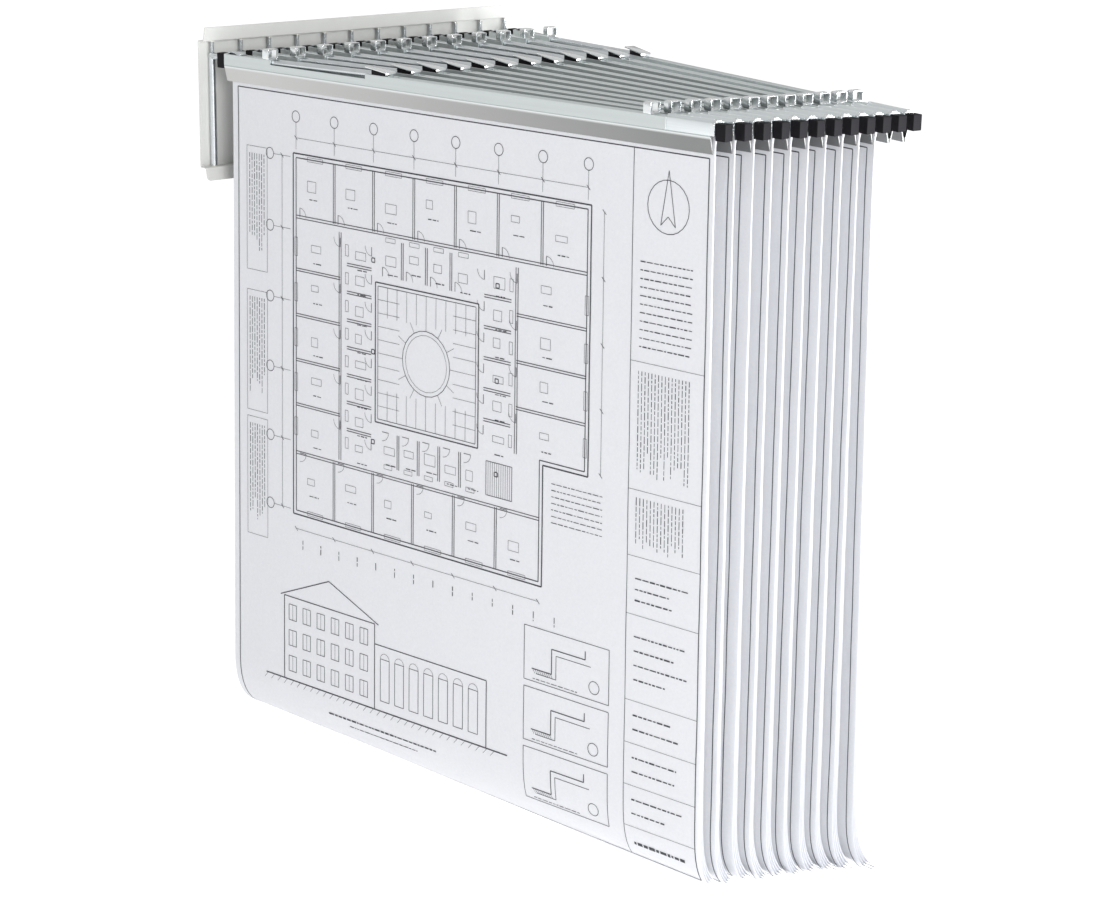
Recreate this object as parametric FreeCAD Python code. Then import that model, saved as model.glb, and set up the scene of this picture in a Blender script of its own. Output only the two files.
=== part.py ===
import FreeCAD, Part
import math
import os

# A wall rack for plan sheets: a bent steel bracket with twelve pivot hangers. Each hanger's arm
# carries an aluminium hanging clamp, and most clamps hold a bundle of sheets.
# Sizes are in millimetres and angles in degrees. The wall is the plane y = 0, the hangers point
# to -Y, and the origin lies on the wall in the middle of the four wall holes.

# Wall bracket
BRACKET_END_MARGIN = 19.6
BRACKET_INNER_HEIGHT = 182.0
FLANGE_DEPTH = 13.0
BRACKET_GAUGE = 1.5
BRACKET_BEND = 0.8
TOP_LIP_HEIGHT = 19.3
BOTTOM_LIP_HEIGHT = 18.0
LIP_FLARE = 4.0
LIP_CORNER_RADIUS = 6.0
WALL_HOLE_SPACING = 406.4
WALL_HOLE_RISE = 120.0
WALL_HOLE_RADIUS = 3.6

# Hangers: the post is a rod with turned ends, the arm a tube welded to its side
HANGER_COUNT = 12
HANGER_PITCH = 50.8
PIVOT_OFFSET = 7.0
POST_RADIUS = 5.0
PIN_RADIUS = 2.4
PIN_STANDOUT = 4.0
ARM_RADIUS = 4.9
ARM_WALL = 1.2
ARM_REACH = 342.0
ARM_ROOT_DROP = 21.6
ARM_RISE = 1.1

# Rest pose: the closed hangers converge towards their tips, and each hangs a little lower
FIRST_HANGER_ANGLE = 5.0
ANGLE_STEP = -1.11
DROOP_STEP = 0.1

# Bushes and springs
BUSH_WALL = 1.6
BUSH_FLANGE_WIDTH = 0.6
BUSH_FLANGE_HEIGHT = 1.2
BUSH_STANDOUT = 0.5
PIN_CLEARANCE = 0.05
SPRING_LENGTH = 16.2
SPRING_COILS = 9
SPRING_WIRE = 0.9
SPRING_CLEARANCE = 0.3

# Clamp jaws: depths are measured down from the top of the clamp
CLAMP_LENGTH = 907.0
CLAMP_START = 36.0
CLAMP_TOP_DROP = 14.8
CLAMP_HALF_WIDTH = 7.75
CLAMP_DEPTH = 39.2
CHANNEL_CLEARANCE = 0.45
CHANNEL_DEPTH = 11.4
WEB_THICKNESS = 3.5
TOP_LIP_THICKNESS = 1.5
TOP_SLIT_HALF_WIDTH = 0.4
CREASE_DEPTH = 16.5
CREASE_SIZE = 0.6
JAW_WALL = 1.65
LIP_HEIGHT = 6.0
LIP_THICKNESS = 1.2
JAW_ROUNDING = 0.6

# Between the rear loop and the hood the ridges beside the arm are milled down
RIDGE_CUT_START = 136.0
RIDGE_CUT_MARGIN = 1.0
RIDGE_CUT_DEPTH = 6.9

# Hinge between the jaws: a bead on the left jaw in a socket on the right jaw
HINGE_DEPTH = 14.4
BEAD_RADIUS = 1.4
BEAD_CLEARANCE = 0.05
SOCKET_WALL = 1.05
NECK_THICKNESS = 1.0
NECK_CLEARANCE = 0.3

# End caps: the front cap stands off from the jaws on a neck, with a tongue in the arm channel
CAP_LENGTH = 16.0
CAP_HALF_WIDTH = 7.25
CAP_HEIGHT = 21.2
CAP_ROUNDING = 0.7
CAP_BORE_CLEARANCE = 0.1
SPIGOT_CLEARANCE = 0.4
SPIGOT_HALF_WIDTH = 4.4
SPIGOT_HEIGHT = 3.0
CAP_STANDOFF = 7.4
CAP_GAP = 0.1
TONGUE_LENGTH = 24.0
TONGUE_CLEARANCE = 0.2
CAP_NECK_HALF_WIDTH = 2.4
CAP_NECK_DROP = 3.0
CAP_NECK_HEIGHT = 7.0

# Loops that stand on the clamp, placed by their centres
LOOP_LENGTH = 12.5
LOOP_WIDTH = 19.0
LOOP_HEIGHT = 15.0
LOOP_WALL = 1.6
LOOP_ROUNDING = 2.0
REAR_LOOP_PLACE = 128.0
FRONT_LOOP_PLACE = 842.5

# Hood over the tip of the arm
HOOD_OVERLAP = 9.0
HOOD_LENGTH = 42.0
HOOD_WIDTH = 17.5
HOOD_THICKNESS = 1.6
HOOD_REAR_HEIGHT = 10.5
HOOD_FRONT_HEIGHT = 5.5
HOOD_FOOT = 16.0
HOOD_CLEARANCE = 0.2
HOOD_TURN = 1.5
HOOD_FLAP_GAP = 0.3

# Black stop under the hood, ahead of the arm's tip
STOP_GAP = 1.5
STOP_LENGTH = 28.5
STOP_HALF_WIDTH = 6.5
STOP_CLEARANCE = 0.1

# Arched strip on the rear end of the clamp
BOW_START = 38.0
BOW_LENGTH = 30.0
BOW_WIDTH = 13.0
BOW_THICKNESS = 1.0
BOW_RISE = 3.0
BOW_FOOT = 3.5
BOW_FLANK = 8.0
BOW_ROUNDING = 4.0

# Sleeve over the front end of the clamp and the cap's neck, with a slotted end wall
SLEEVE_LENGTH = 78.3
SLEEVE_THICKNESS = 0.8
SLEEVE_CLEARANCE = 0.05
SLEEVE_CROWN_HEIGHT = 2.7
SLEEVE_CROWN_HALF_WIDTH = 3.4
SLEEVE_ROUNDING = 0.3
CREASE_MARGIN = 0.3

# Plan sheets: one bundle for each clamp but the last two, each a little longer than the one before
SHEET_BUNDLES = 10
SHEET_LENGTH = 1006.0
SHEET_LENGTH_STEP = 5.5
BUNDLE_THICKNESS = 1.8
REAR_SHEET_MARGIN = 10.0
FRONT_SHEET_STANDOUT = 3.0
SHEET_TOP_GAP = 0.3
CURL_RADIUS = 62.0
CURL_ANGLE = 58.0

BRACKET_WIDTH = (HANGER_COUNT - 1) * HANGER_PITCH + 2 * BRACKET_END_MARGIN
FLANGE_UNDERSIDE = BRACKET_INNER_HEIGHT / 2
CLAMP_TOP = FLANGE_UNDERSIDE - CLAMP_TOP_DROP
CLAMP_END = CLAMP_START + CLAMP_LENGTH
CAP_NECK_TOP = CLAMP_TOP - CAP_NECK_DROP
FRONT_CAP_START = CLAMP_END + CAP_STANDOFF
HOOD_START = ARM_REACH - HOOD_OVERLAP
HOOD_FRONT = HOOD_START + HOOD_LENGTH
HOOD_SLOPE = (HOOD_REAR_HEIGHT - HOOD_FRONT_HEIGHT) / HOOD_LENGTH
RIDGE_CUT_END = HOOD_START - RIDGE_CUT_MARGIN
STOP_START = ARM_REACH + STOP_GAP
SHEET_START = CLAMP_START + REAR_SHEET_MARGIN
SHEET_END = CLAMP_END + FRONT_SHEET_STANDOUT
CHANNEL_HALF_WIDTH = ARM_RADIUS + CHANNEL_CLEARANCE
ARM_ROOT = FreeCAD.Vector(0, 0, FLANGE_UNDERSIDE - ARM_ROOT_DROP)
ARM_DIRECTION = FreeCAD.Vector(0, -math.cos(math.radians(ARM_RISE)), math.sin(math.radians(ARM_RISE)))
BUSH_RADIUS = PIN_RADIUS + BUSH_WALL
LONGITUDINAL = "x"
OUTWARD = "out"


def hanger_place(index):
    """Return the x position of a pivot, counted from 0 at the -X end."""
    return (index - (HANGER_COUNT - 1) / 2) * HANGER_PITCH


def hanger_angle(index):
    return FIRST_HANGER_ANGLE + ANGLE_STEP * index


def hanger_droop(index):
    return DROOP_STEP * (index + 1)


def unit(start, end):
    length = math.dist(start, end)
    return ((end[0] - start[0]) / length, (end[1] - start[1]) / length)


def rounded_edges(corners, to_space):
    """Return the edges of a closed outline. A corner is (a, b) or (a, b, rounding)."""
    stations = []
    count = len(corners)
    for index, corner in enumerate(corners):
        point = corner[:2]
        rounding = corner[2] if len(corner) > 2 else 0.0
        before = unit(point, corners[index - 1][:2])
        after = unit(point, corners[(index + 1) % count][:2])
        if rounding <= 0:
            stations.append((point, point, point))
            continue
        cosine = max(-1.0, min(1.0, before[0] * after[0] + before[1] * after[1]))
        half_turn = math.acos(cosine) / 2
        setback = rounding / math.tan(half_turn)
        entry = (point[0] + before[0] * setback, point[1] + before[1] * setback)
        leave = (point[0] + after[0] * setback, point[1] + after[1] * setback)
        middle = unit(point, ((entry[0] + leave[0]) / 2, (entry[1] + leave[1]) / 2))
        reach = rounding / math.sin(half_turn) - rounding
        stations.append((entry, (point[0] + middle[0] * reach, point[1] + middle[1] * reach), leave))
    edges = []
    for index, (entry, crown, leave) in enumerate(stations):
        if entry != leave:
            edges.append(Part.Arc(to_space(entry), to_space(crown), to_space(leave)).toShape())
        following = stations[(index + 1) % count][0]
        edges.append(Part.LineSegment(to_space(leave), to_space(following)).toShape())
    return edges


def prism(corners, along, start, end):
    """Extrude an outline along X from (y, z) corners, or outwards from (x, z) corners."""
    if along == LONGITUDINAL:
        edges = rounded_edges(corners, lambda point: FreeCAD.Vector(start, point[0], point[1]))
        travel = FreeCAD.Vector(end - start, 0, 0)
    else:
        edges = rounded_edges(corners, lambda point: FreeCAD.Vector(point[0], -start, point[1]))
        travel = FreeCAD.Vector(0, start - end, 0)
    return Part.Face(Part.Wire(edges)).extrude(travel)


def strip_outline(path, thickness, bend=0.0):
    """Return the outline of a bent strip. The path is its right side, seen along the path."""
    left_side = []
    right_side = []
    for index, point in enumerate(path):
        before = unit(path[max(index - 1, 0)], path[max(index, 1)])
        after = unit(path[min(index, len(path) - 2)], path[min(index + 1, len(path) - 1)])
        scale = thickness / (1 + before[0] * after[0] + before[1] * after[1])
        shift = (-(before[1] + after[1]) * scale, (before[0] + after[0]) * scale)
        turn = before[0] * after[1] - before[1] * after[0]
        inside = bend if turn else 0.0
        outside = bend + thickness if turn and bend else 0.0
        left_rounding, right_rounding = (inside, outside) if turn > 0 else (outside, inside)
        left_side.append((point[0] + shift[0], point[1] + shift[1], left_rounding))
        right_side.append((point[0], point[1], right_rounding))
    return left_side + right_side[::-1]


def rectangle(half_width, bottom, top, rounding=0.0):
    return [
        (-half_width, bottom, rounding),
        (half_width, bottom, rounding),
        (half_width, top, rounding),
        (-half_width, top, rounding),
    ]


def rod(radius, bottom, top):
    return Part.makeCylinder(radius, top - bottom, FreeCAD.Vector(0, 0, bottom))


def arm_rod(radius, reach):
    """Return a rod on the arm's axis, from the pivot axis out to a reach along it."""
    return Part.makeCylinder(radius, reach, ARM_ROOT, ARM_DIRECTION)


def place_on_hanger(shape, index):
    """Move a piece from its hanger's own frame, arm along -Y, to its place in the rack."""
    placed = shape.copy()
    placed.rotate(ARM_ROOT, FreeCAD.Vector(1, 0, 0), hanger_droop(index))
    placed.rotate(FreeCAD.Vector(), FreeCAD.Vector(0, 0, 1), hanger_angle(index))
    placed.translate(FreeCAD.Vector(hanger_place(index), -PIVOT_OFFSET, 0))
    return placed


def at_each_pivot(shape):
    copies = []
    for index in range(HANGER_COUNT):
        copy = shape.copy()
        copy.translate(FreeCAD.Vector(hanger_place(index), -PIVOT_OFFSET, 0))
        copies.append(copy)
    return copies


def lip_corner(side, foot):
    """Return what rounding takes off one bottom corner of the lower lip."""
    radius = LIP_CORNER_RADIUS
    depth = 2 * (FLANGE_DEPTH + LIP_FLARE)
    edge = side * BRACKET_WIDTH / 2
    centre = FreeCAD.Vector(edge - side * radius, 0, foot + radius)
    block = Part.makeBox(radius, depth, radius, FreeCAD.Vector(min(edge, centre.x), -depth, foot))
    return block.cut(Part.makeCylinder(radius, depth, centre, FreeCAD.Vector(0, -1, 0)))


def wall_bracket():
    """Return the bent sheet bracket, with its pivot holes and wall holes."""
    half_height = FLANGE_UNDERSIDE + BRACKET_GAUGE
    path = [
        (-FLANGE_DEPTH - LIP_FLARE, -half_height - BOTTOM_LIP_HEIGHT),
        (-FLANGE_DEPTH, -half_height),
        (0, -half_height),
        (0, half_height),
        (-FLANGE_DEPTH, half_height),
        (-FLANGE_DEPTH - LIP_FLARE, half_height + TOP_LIP_HEIGHT),
    ]
    outline = strip_outline(path, BRACKET_GAUGE, BRACKET_BEND)
    bracket = prism(outline, LONGITUDINAL, -BRACKET_WIDTH / 2, BRACKET_WIDTH / 2)
    reach = half_height + BRACKET_GAUGE
    lip_foot = -half_height - BOTTOM_LIP_HEIGHT
    outwards = FreeCAD.Vector(0, -1, 0)
    cuts = at_each_pivot(rod(BUSH_RADIUS, -reach, reach))
    cuts += [lip_corner(-1, lip_foot), lip_corner(1, lip_foot)]
    for x in (-WALL_HOLE_SPACING / 2, WALL_HOLE_SPACING / 2):
        for z in (-WALL_HOLE_RISE / 2, WALL_HOLE_RISE / 2):
            start = FreeCAD.Vector(x, 2 * BRACKET_GAUGE, z)
            cuts.append(Part.makeCylinder(WALL_HOLE_RADIUS, 4 * BRACKET_GAUGE, start, outwards))
    return bracket.cut(cuts)


def flanged_bush(inner_face, outwards):
    """Return a bush seated on a flange's inner face, with its sleeve pointing outwards."""
    collar_end = inner_face - outwards * BUSH_FLANGE_HEIGHT
    sleeve_end = inner_face + outwards * (BRACKET_GAUGE + BUSH_STANDOUT)
    collar = rod(BUSH_RADIUS + BUSH_FLANGE_WIDTH, min(inner_face, collar_end), max(inner_face, collar_end))
    sleeve = rod(BUSH_RADIUS, min(inner_face, sleeve_end), max(inner_face, sleeve_end))
    bore = rod(PIN_RADIUS + PIN_CLEARANCE, min(collar_end, sleeve_end), max(collar_end, sleeve_end))
    return collar.fuse(sleeve).cut(bore).removeSplitter()


def pivot_spring():
    """Return a closed coil spring between the top bush and the shoulder of the post."""
    top = FLANGE_UNDERSIDE - BUSH_FLANGE_HEIGHT
    pitch = SPRING_LENGTH / SPRING_COILS
    inner = PIN_RADIUS + SPRING_CLEARANCE
    groove = inner + SPRING_WIRE / 2
    outer = inner + SPRING_WIRE
    edges = []
    for coil in range(SPRING_COILS):
        high = top - coil * pitch
        start = FreeCAD.Vector(groove, 0, high)
        crest = FreeCAD.Vector(outer, 0, high - pitch / 2)
        end = FreeCAD.Vector(groove, 0, high - pitch)
        edges.append(Part.Arc(start, crest, end).toShape())
    foot = top - SPRING_LENGTH
    rim = [
        FreeCAD.Vector(groove, 0, foot),
        FreeCAD.Vector(inner, 0, foot),
        FreeCAD.Vector(inner, 0, top),
        FreeCAD.Vector(groove, 0, top),
    ]
    for start, end in zip(rim, rim[1:]):
        edges.append(Part.LineSegment(start, end).toShape())
    return Part.Face(Part.Wire(edges)).revolve(FreeCAD.Vector(), FreeCAD.Vector(0, 0, 1), 360)


def post():
    """Return the upright rod with its turned ends. It stands on the bottom bush."""
    shoulder = FLANGE_UNDERSIDE - BUSH_FLANGE_HEIGHT - SPRING_LENGTH
    foot = -FLANGE_UNDERSIDE + BUSH_FLANGE_HEIGHT
    pin_reach = FLANGE_UNDERSIDE + BRACKET_GAUGE + PIN_STANDOUT
    body = rod(POST_RADIUS, foot, shoulder)
    return body.fuse(rod(PIN_RADIUS, -pin_reach, pin_reach)).removeSplitter()


def pivot_arm(index):
    """Return the post and the arm tube, whose end is coped to the post."""
    length = ARM_REACH / math.cos(math.radians(ARM_RISE))
    tube = arm_rod(ARM_RADIUS, length).cut(arm_rod(ARM_RADIUS - ARM_WALL, length))
    axis_place = FreeCAD.Vector(hanger_place(index), -PIVOT_OFFSET, 0)
    upright = post()
    upright.translate(axis_place)
    cope = rod(POST_RADIUS, -FLANGE_UNDERSIDE, FLANGE_UNDERSIDE)
    cope.translate(axis_place)
    arm = place_on_hanger(tube, index).cut(cope)
    outer_piece = max(arm.Solids, key=lambda solid: solid.Volume)
    return [upright, outer_piece]


def jaw_outline(side, web_reach):
    """Return the section of one jaw. Side is -1 for the left jaw and 1 for the right jaw."""
    lip = BUNDLE_THICKNESS / 2
    crease_end = CREASE_DEPTH + CREASE_SIZE
    taper = (CLAMP_HALF_WIDTH - lip - LIP_THICKNESS) / (CLAMP_DEPTH - crease_end)
    lip_top = CLAMP_DEPTH - LIP_HEIGHT
    cavity_top = CHANNEL_DEPTH + WEB_THICKNESS
    cavity_foot = CLAMP_HALF_WIDTH - taper * (lip_top - crease_end) - JAW_WALL
    corners = [
        (CHANNEL_HALF_WIDTH, TOP_LIP_THICKNESS),
        (TOP_SLIT_HALF_WIDTH, TOP_LIP_THICKNESS),
        (TOP_SLIT_HALF_WIDTH, 0),
        (CLAMP_HALF_WIDTH, 0, JAW_ROUNDING),
        (CLAMP_HALF_WIDTH, CREASE_DEPTH - CREASE_SIZE),
        (CLAMP_HALF_WIDTH - CREASE_SIZE, CREASE_DEPTH),
        (CLAMP_HALF_WIDTH, crease_end, JAW_ROUNDING),
        (lip + LIP_THICKNESS, CLAMP_DEPTH),
        (lip, CLAMP_DEPTH),
        (lip, lip_top),
        (cavity_foot, lip_top),
        (CLAMP_HALF_WIDTH - JAW_WALL, crease_end),
        (CLAMP_HALF_WIDTH - JAW_WALL, cavity_top),
        (web_reach, cavity_top),
        (web_reach, CHANNEL_DEPTH),
        (CHANNEL_HALF_WIDTH, CHANNEL_DEPTH),
    ]
    return [(side * corner[0], CLAMP_TOP - corner[1]) + corner[2:] for corner in corners]


def hinge_rod(radius):
    start = FreeCAD.Vector(0, -CLAMP_START, CLAMP_TOP - HINGE_DEPTH)
    return Part.makeCylinder(radius, CLAMP_LENGTH, start, FreeCAD.Vector(0, -1, 0))


def clamp_jaws():
    """Return the left jaw with its hinge bead and the right jaw with its socket."""
    bore = BEAD_RADIUS + BEAD_CLEARANCE
    socket = bore + SOCKET_WALL
    left_reach = socket + NECK_CLEARANCE
    height = CLAMP_TOP - HINGE_DEPTH
    left = prism(jaw_outline(-1, left_reach), OUTWARD, CLAMP_START, CLAMP_END)
    half_neck = NECK_THICKNESS / 2
    neck = [
        (-left_reach, height - half_neck),
        (0, height - half_neck),
        (0, height + half_neck),
        (-left_reach, height + half_neck),
    ]
    left = left.fuse([prism(neck, OUTWARD, CLAMP_START, CLAMP_END), hinge_rod(BEAD_RADIUS)])
    right = prism(jaw_outline(1, bore), OUTWARD, CLAMP_START, CLAMP_END).fuse(hinge_rod(socket))
    half_mouth = half_neck + NECK_CLEARANCE
    mouth = [
        (-left_reach, height - half_mouth),
        (0, height - half_mouth),
        (0, height + half_mouth),
        (-left_reach, height + half_mouth),
    ]
    right = right.cut([hinge_rod(bore), prism(mouth, OUTWARD, CLAMP_START, CLAMP_END)])
    ridges = rectangle(2 * CLAMP_HALF_WIDTH, CLAMP_TOP - RIDGE_CUT_DEPTH, 2 * CLAMP_TOP)
    lips = rectangle(CHANNEL_HALF_WIDTH, CLAMP_TOP - 2 * TOP_LIP_THICKNESS, 2 * CLAMP_TOP)
    milled = [
        prism(ridges, OUTWARD, RIDGE_CUT_START, RIDGE_CUT_END),
        prism(lips, OUTWARD, 0, HOOD_FRONT + HOOD_FOOT + HOOD_CLEARANCE),
    ]
    return [left.removeSplitter().cut(milled), right.removeSplitter().cut(milled)]


def end_caps():
    """Return the rear cap, bored for the arm, and the front cap with its neck and tongue."""
    cap_section = rectangle(CAP_HALF_WIDTH, CLAMP_TOP - CAP_HEIGHT, CLAMP_TOP, CAP_ROUNDING)
    spigot_top = CLAMP_TOP - HINGE_DEPTH - BEAD_RADIUS - BEAD_CLEARANCE - SOCKET_WALL - SHEET_TOP_GAP
    spigot_section = rectangle(SPIGOT_HALF_WIDTH, spigot_top - SPIGOT_HEIGHT, spigot_top)
    rear = prism(cap_section, OUTWARD, CLAMP_START - CAP_LENGTH, CLAMP_START)
    rear = rear.fuse(prism(spigot_section, OUTWARD, CLAMP_START, SHEET_START - SPIGOT_CLEARANCE))
    rear = rear.cut(arm_rod(ARM_RADIUS + CAP_BORE_CLEARANCE, CLAMP_START + CAP_LENGTH))
    tongue_half_width = CHANNEL_HALF_WIDTH - TONGUE_CLEARANCE
    tongue_foot = CLAMP_TOP - CHANNEL_DEPTH + TONGUE_CLEARANCE
    tongue_top = CLAMP_TOP - TOP_LIP_THICKNESS - TONGUE_CLEARANCE
    tongue = rectangle(tongue_half_width, tongue_foot, tongue_top)
    neck = rectangle(CAP_NECK_HALF_WIDTH, CAP_NECK_TOP - CAP_NECK_HEIGHT, CAP_NECK_TOP)
    front = prism(cap_section, OUTWARD, FRONT_CAP_START, FRONT_CAP_START + CAP_LENGTH)
    front = front.fuse([
        prism(neck, OUTWARD, CLAMP_END, FRONT_CAP_START),
        prism(tongue, OUTWARD, CLAMP_END - TONGUE_LENGTH, CLAMP_END),
    ])
    return [rear, front]


def loop(place):
    """Return a short length of rectangular tube on the clamp, cut away where the arm passes."""
    start = place - LOOP_LENGTH / 2
    end = place + LOOP_LENGTH / 2
    top = CLAMP_TOP + LOOP_HEIGHT
    outside = rectangle(LOOP_WIDTH / 2, CLAMP_TOP, top, LOOP_ROUNDING)
    inner_rounding = LOOP_ROUNDING - LOOP_WALL
    inside = rectangle(LOOP_WIDTH / 2 - LOOP_WALL, CLAMP_TOP + LOOP_WALL, top - LOOP_WALL, inner_rounding)
    tube = prism(outside, OUTWARD, start, end).cut(prism(inside, OUTWARD, start, end))
    return tube.cut(arm_rod(ARM_RADIUS + CAP_BORE_CLEARANCE, ARM_REACH))


def hood():
    """Return the strip over the arm's tip. Its foot stands on the floor of the channel."""
    front_top = CLAMP_TOP + HOOD_FRONT_HEIGHT
    floor = CLAMP_TOP - CHANNEL_DEPTH + HOOD_THICKNESS
    flap_foot = CLAMP_TOP + HOOD_FLAP_GAP
    lean = HOOD_TURN * (front_top - flap_foot) / (front_top - floor)
    roof_path = [(-HOOD_START, CLAMP_TOP + HOOD_REAR_HEIGHT), (-HOOD_FRONT, front_top)]
    stem_path = roof_path + [(-HOOD_FRONT - HOOD_TURN, floor), (-HOOD_FRONT - HOOD_FOOT, floor)]
    flap_path = roof_path + [(-HOOD_FRONT - lean, flap_foot)]
    half_foot = CHANNEL_HALF_WIDTH - HOOD_CLEARANCE
    half_width = HOOD_WIDTH / 2
    stem = prism(strip_outline(stem_path, HOOD_THICKNESS), LONGITUDINAL, -half_foot, half_foot)
    roof = prism(strip_outline(flap_path, HOOD_THICKNESS), LONGITUDINAL, -half_width, half_width)
    return stem.fuse(roof).removeSplitter()


def arm_stop():
    """Return the block that fills the hood ahead of the arm's tip. It stands on the ridges."""
    roof_gauge = HOOD_THICKNESS * math.hypot(1, HOOD_SLOPE) + STOP_CLEARANCE
    rear_top = CLAMP_TOP + HOOD_REAR_HEIGHT - HOOD_SLOPE * (STOP_START - HOOD_START) - roof_gauge
    end = STOP_START + STOP_LENGTH
    corners = [
        (-STOP_START, CLAMP_TOP),
        (-end, CLAMP_TOP),
        (-end, rear_top - HOOD_SLOPE * STOP_LENGTH),
        (-STOP_START, rear_top),
    ]
    return prism(corners, LONGITUDINAL, -STOP_HALF_WIDTH, STOP_HALF_WIDTH)


def bow_strip():
    """Return the arched strip that stands on the top of the jaws."""
    end = BOW_START + BOW_LENGTH
    flank = BOW_FOOT + BOW_FLANK
    path = [
        (-end, CLAMP_TOP),
        (-end + BOW_FOOT, CLAMP_TOP),
        (-end + flank, CLAMP_TOP + BOW_RISE),
        (-BOW_START - flank, CLAMP_TOP + BOW_RISE),
        (-BOW_START - BOW_FOOT, CLAMP_TOP),
        (-BOW_START, CLAMP_TOP),
    ]
    outline = strip_outline(path, BOW_THICKNESS, BOW_ROUNDING)
    return prism(outline, LONGITUDINAL, -BOW_WIDTH / 2, BOW_WIDTH / 2)


def sleeve():
    """Return the crowned sleeve that grips the upper bands of both jaws, with its end wall."""
    half_width = CLAMP_HALF_WIDTH + SLEEVE_CLEARANCE
    skirt = CLAMP_TOP - CREASE_DEPTH + CREASE_SIZE + CREASE_MARGIN
    crown = CLAMP_TOP + SLEEVE_CROWN_HEIGHT
    path = [
        (-half_width, skirt),
        (-half_width, CLAMP_TOP),
        (-CHANNEL_HALF_WIDTH, CLAMP_TOP),
        (-SLEEVE_CROWN_HALF_WIDTH, crown),
        (SLEEVE_CROWN_HALF_WIDTH, crown),
        (CHANNEL_HALF_WIDTH, CLAMP_TOP),
        (half_width, CLAMP_TOP),
        (half_width, skirt),
    ]
    outline = strip_outline(path, SLEEVE_THICKNESS, SLEEVE_ROUNDING)
    end = FRONT_CAP_START - CAP_GAP
    wall_start = end - SLEEVE_THICKNESS
    slot_top = CAP_NECK_TOP + SLEEVE_CLEARANCE
    slot = rectangle(CAP_NECK_HALF_WIDTH + SLEEVE_CLEARANCE, skirt - SLEEVE_THICKNESS, slot_top)
    wall = prism(path, OUTWARD, wall_start, end)
    wall = wall.cut(prism(slot, OUTWARD, CLAMP_END, CLAMP_END + CAP_STANDOFF))
    return prism(outline, OUTWARD, end - SLEEVE_LENGTH, end).fuse(wall).removeSplitter()


def clamp_fittings():
    loops = [loop(REAR_LOOP_PLACE), loop(FRONT_LOOP_PLACE)]
    return end_caps() + loops + [hood(), arm_stop(), bow_strip(), sleeve()]


def plan_sheets(length):
    """Return one bundle of sheets, straight down from the jaws and curled at its bottom edge."""
    half = BUNDLE_THICKNESS / 2
    turn = math.radians(CURL_ANGLE)
    socket_foot = HINGE_DEPTH + BEAD_RADIUS + BEAD_CLEARANCE + SOCKET_WALL
    top = CLAMP_TOP - socket_foot - SHEET_TOP_GAP
    curl_top = top - length + CURL_RADIUS * turn

    def curl_point(radius, angle):
        x = CURL_RADIUS - radius * math.cos(angle)
        return FreeCAD.Vector(x, -SHEET_START, curl_top - radius * math.sin(angle))

    outer = CURL_RADIUS + half
    inner = CURL_RADIUS - half
    left_top = FreeCAD.Vector(-half, -SHEET_START, top)
    right_top = FreeCAD.Vector(half, -SHEET_START, top)
    edges = [
        Part.LineSegment(left_top, curl_point(outer, 0)),
        Part.Arc(curl_point(outer, 0), curl_point(outer, turn / 2), curl_point(outer, turn)),
        Part.LineSegment(curl_point(outer, turn), curl_point(inner, turn)),
        Part.Arc(curl_point(inner, turn), curl_point(inner, turn / 2), curl_point(inner, 0)),
        Part.LineSegment(curl_point(inner, 0), right_top),
        Part.LineSegment(right_top, left_top),
    ]
    outline = Part.Wire([edge.toShape() for edge in edges])
    return Part.Face(outline).extrude(FreeCAD.Vector(0, SHEET_START - SHEET_END, 0))


def save(name, solids):
    shape = solids[0] if len(solids) == 1 else Part.makeCompound(solids)
    shape.exportStep("parts/" + name + ".step")


def main():
    os.makedirs("parts", exist_ok=True)
    save("wall_bracket", [wall_bracket()])
    save("top_bushes", at_each_pivot(flanged_bush(FLANGE_UNDERSIDE, 1)))
    save("bottom_bushes", at_each_pivot(flanged_bush(-FLANGE_UNDERSIDE, -1)))
    save("pivot_springs", at_each_pivot(pivot_spring()))
    jaws = clamp_jaws()
    fittings = clamp_fittings()
    for index in range(HANGER_COUNT):
        number = "_%02d" % (index + 1)
        save("pivot_arm" + number, pivot_arm(index))
        save("clamp_jaws" + number, [place_on_hanger(solid, index) for solid in jaws])
        save("clamp_fittings" + number, [place_on_hanger(solid, index) for solid in fittings])
        if index < SHEET_BUNDLES:
            sheets = plan_sheets(SHEET_LENGTH + SHEET_LENGTH_STEP * index)
            save("plan_sheets" + number, [place_on_hanger(sheets, index)])


main()
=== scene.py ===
import bpy
import bmesh
import math
import random
from mathutils import Matrix, Vector


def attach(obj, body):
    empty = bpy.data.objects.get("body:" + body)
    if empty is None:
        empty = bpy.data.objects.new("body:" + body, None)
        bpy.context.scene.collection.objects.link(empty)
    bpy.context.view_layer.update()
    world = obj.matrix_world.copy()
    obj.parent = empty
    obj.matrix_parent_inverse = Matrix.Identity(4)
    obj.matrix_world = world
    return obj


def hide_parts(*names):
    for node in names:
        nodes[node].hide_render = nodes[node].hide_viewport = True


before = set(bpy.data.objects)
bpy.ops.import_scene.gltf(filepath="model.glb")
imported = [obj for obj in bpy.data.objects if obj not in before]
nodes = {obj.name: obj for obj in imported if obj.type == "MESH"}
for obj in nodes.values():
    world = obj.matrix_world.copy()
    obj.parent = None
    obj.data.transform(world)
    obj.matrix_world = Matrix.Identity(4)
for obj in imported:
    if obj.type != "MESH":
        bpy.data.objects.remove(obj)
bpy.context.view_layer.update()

mm = 0.001

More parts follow.
